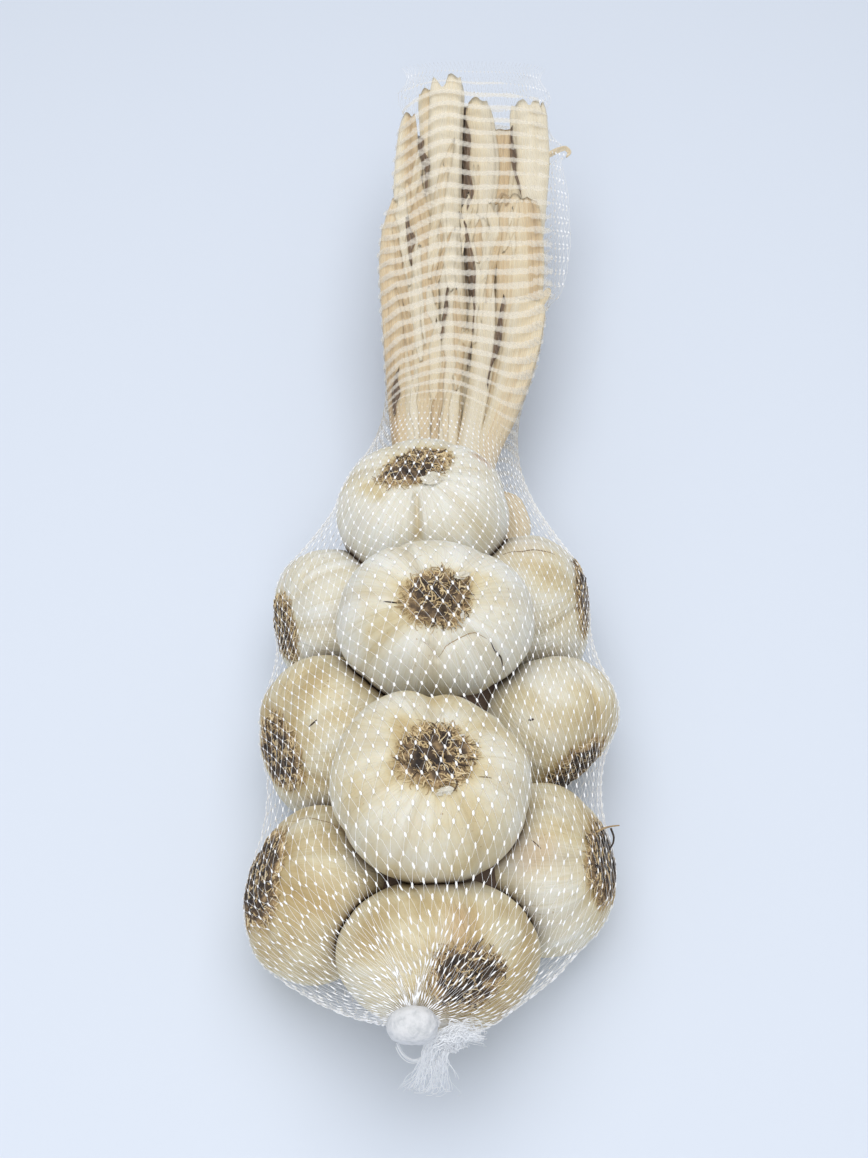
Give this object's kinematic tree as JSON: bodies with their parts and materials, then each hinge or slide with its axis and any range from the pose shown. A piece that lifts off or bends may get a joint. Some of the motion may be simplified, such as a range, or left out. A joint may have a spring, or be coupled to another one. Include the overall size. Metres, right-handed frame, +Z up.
{
  "type": "garlic braid",
  "caption": "Braid of garlic bulbs on their dried stalks, sleeved in a fine net that is gathered into a round clip.",
  "frame": {"origin": "on the surface the braid lies on, under the middle of its outer box", "axes": "+Z up from the surface, +Y from the clip to the stalks' cut ends, +X to the right seen from the clip end"},
  "size_m": [0.1296, 0.4789, 0.089],
  "materials": {
    "garlic_in_net": "dry papery garlic skins, matt",
    "garlic_skin": "dry ivory skin, fine streaks along the cloves, soft sheen",
    "dry_roots": "dry fibrous root crust, matt",
    "dry_stalk": "dry flattened leaf stalks, fibrous, matt",
    "net": "fine white drawn net, slightly glossy",
    "clip": "smooth white moulded plastic"
  },
  "bodies": {
    "root": {"netted_braid": "garlic_in_net", "clip": "clip", "net_tail": "net"}
  },
  "joints": []
}
